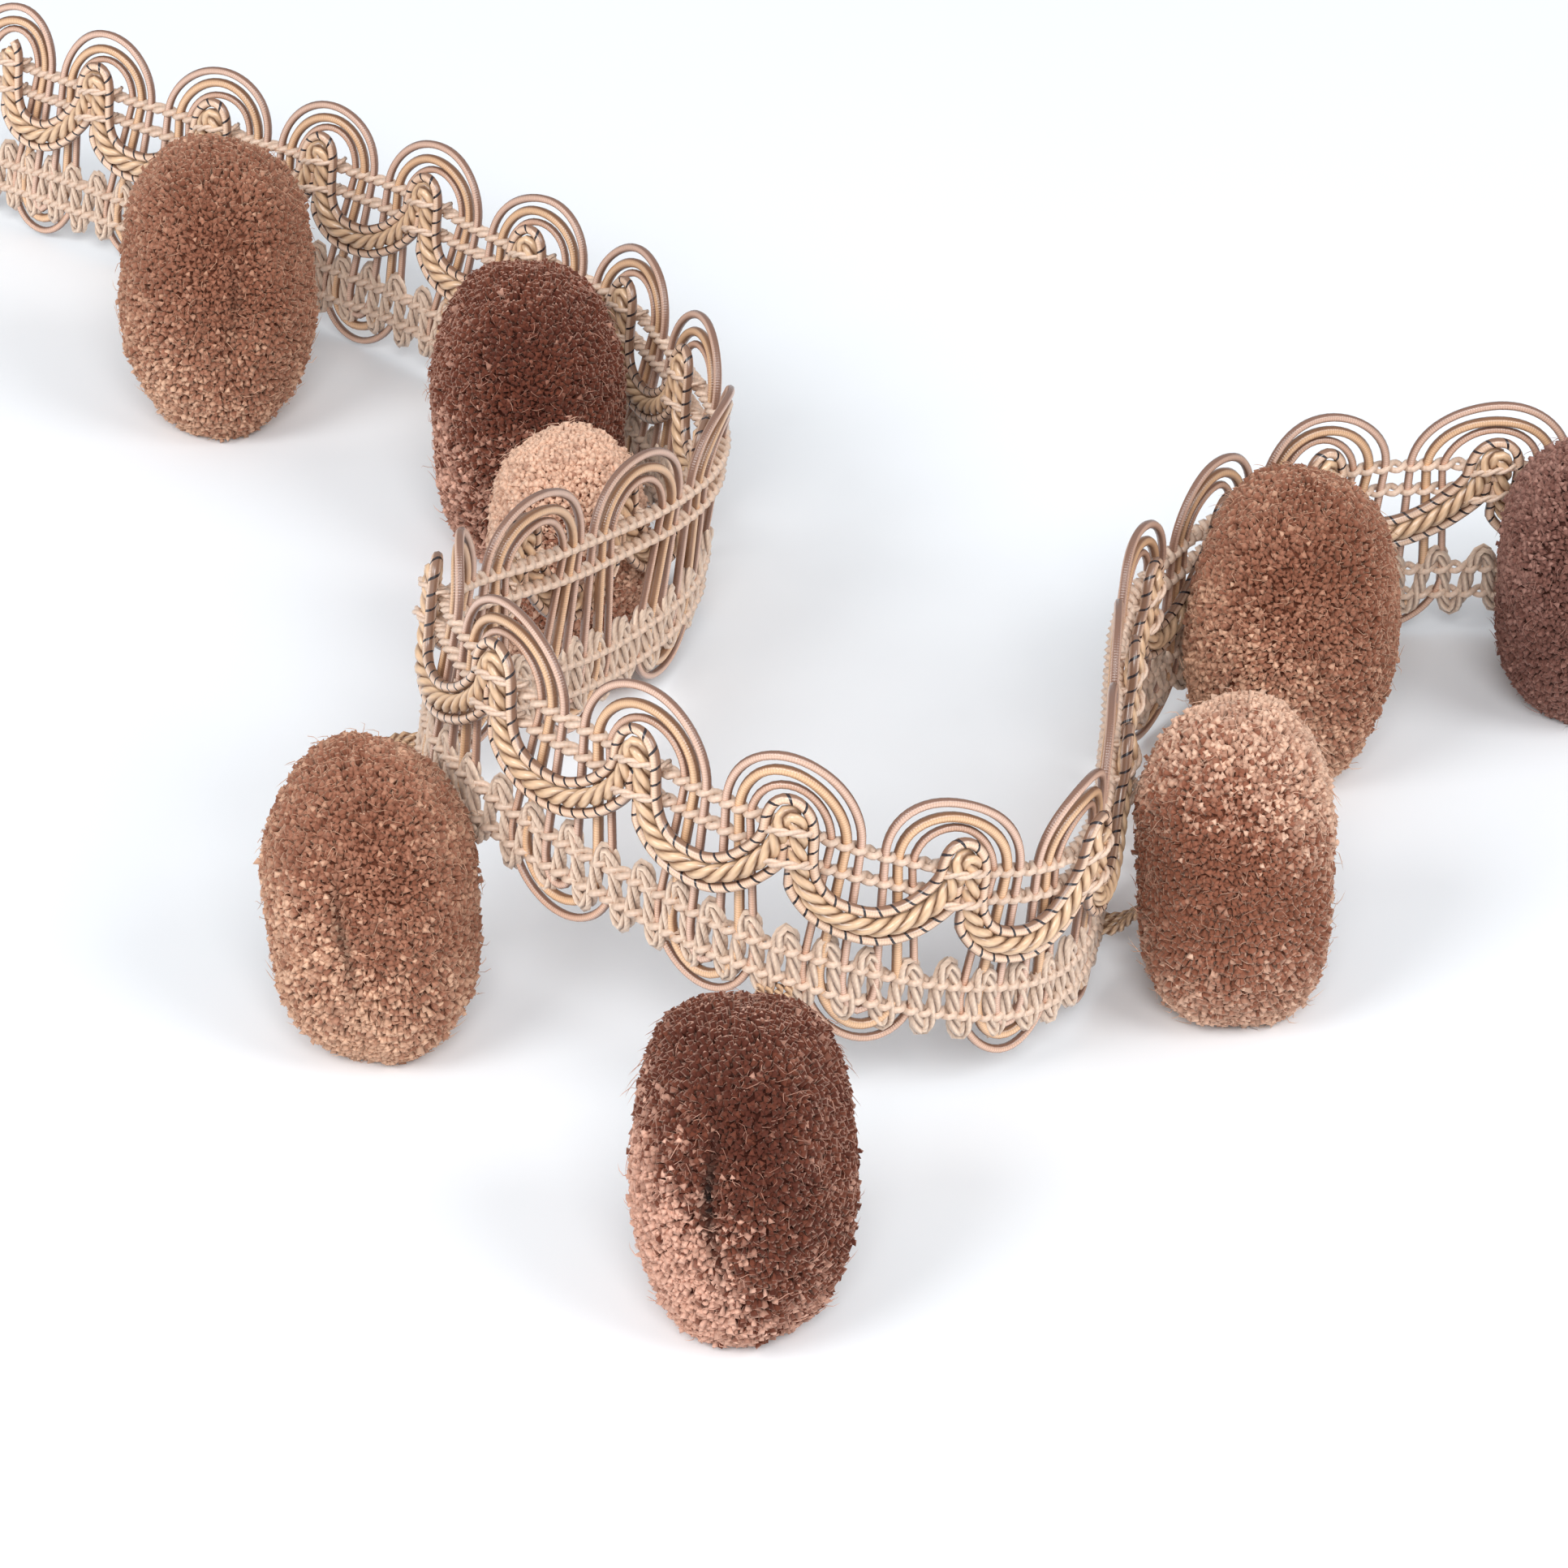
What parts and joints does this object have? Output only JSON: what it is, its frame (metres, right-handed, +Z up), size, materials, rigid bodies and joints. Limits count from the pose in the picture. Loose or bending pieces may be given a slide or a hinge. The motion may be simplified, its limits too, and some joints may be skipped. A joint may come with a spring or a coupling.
{
  "type": "pompom fringe trim",
  "caption": "Scalloped gimp braid standing on edge in a double bend, with a scroll cord along its front and oval cut-pile pompoms hanging from short cord tabs",
  "frame": {"origin": "on the table, under the middle of the trim's bounding box", "axes": "+Z up from the table; the braid runs from the far left end (-X, +Y) forward to a bend at the front (-Y) and back to the right end (+X); the front of the picture is -Y"},
  "size_m": [0.2615, 0.2999, 0.0578],
  "materials": {
    "gimp": "matte wrapped cord with a slight satin",
    "scroll": "satin twisted cord",
    "tab": "satin plied cord",
    "caramel": "matte cut pile",
    "chocolate": "matte cut pile",
    "peach": "matte cut pile",
    "plum": "matte cut pile"
  },
  "bodies": {
    "root": {"gimp_ground": "gimp", "scroll_cord": "scroll", "pompom_01": "caramel", "pompom_02": "chocolate", "pompom_03": "peach", "pompom_04": "caramel", "pompom_05": "chocolate", "pompom_06": "peach", "pompom_07": "caramel", "pompom_08": "plum", "tab_01": "tab", "tab_02": "tab", "tab_03": "tab", "tab_04": "tab", "tab_05": "tab", "tab_06": "tab", "tab_07": "tab", "tab_08": "tab"}
  },
  "joints": []
}
